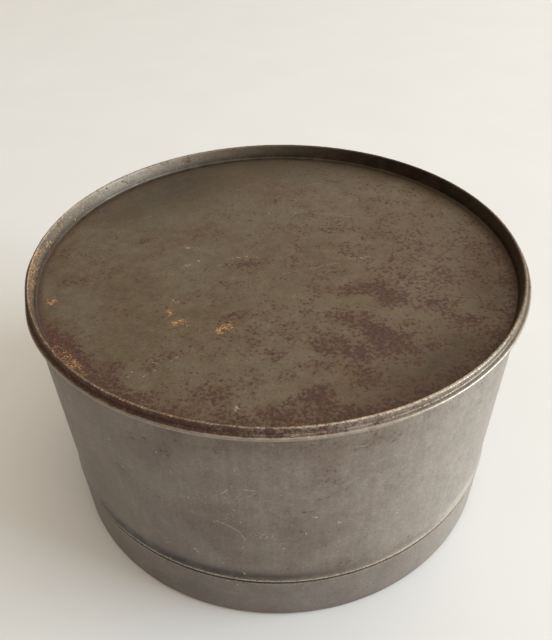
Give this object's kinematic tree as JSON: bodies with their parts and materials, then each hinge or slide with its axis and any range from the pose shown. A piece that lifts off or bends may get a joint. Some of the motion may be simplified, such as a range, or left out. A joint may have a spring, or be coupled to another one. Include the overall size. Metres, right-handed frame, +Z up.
{
  "type": "round tin with slip lid",
  "caption": "Low round sheet-steel tin with a recessed end inside a seamed rim, standing upside down on its flush slip lid, below a stop bead.",
  "frame": {"origin": "on the surface it stands on, under the middle of the tin", "axes": "+Z up along the axis of the tin, as it stands upside down on its lid; +Y towards the side seam"},
  "size_m": [0.12, 0.12, 0.0684],
  "materials": {
    "lid_tinplate": "dull aged tinplate",
    "wall_tinplate": "dull aged tinplate",
    "solder": "dull solder",
    "end_rusted": "dull tinplate with speckled rust"
  },
  "bodies": {
    "lid": {"lid_cap": "lid_tinplate"},
    "tin": {"body_wall": "wall_tinplate", "side_seam_solder": "solder", "bottom_end": "end_rusted"}
  },
  "joints": [
    {"name": "tin_lift", "type": "slide", "parent": "lid", "child": "tin", "axis": [0, 0, 1], "range_m": [0, 0.06]}
  ]
}
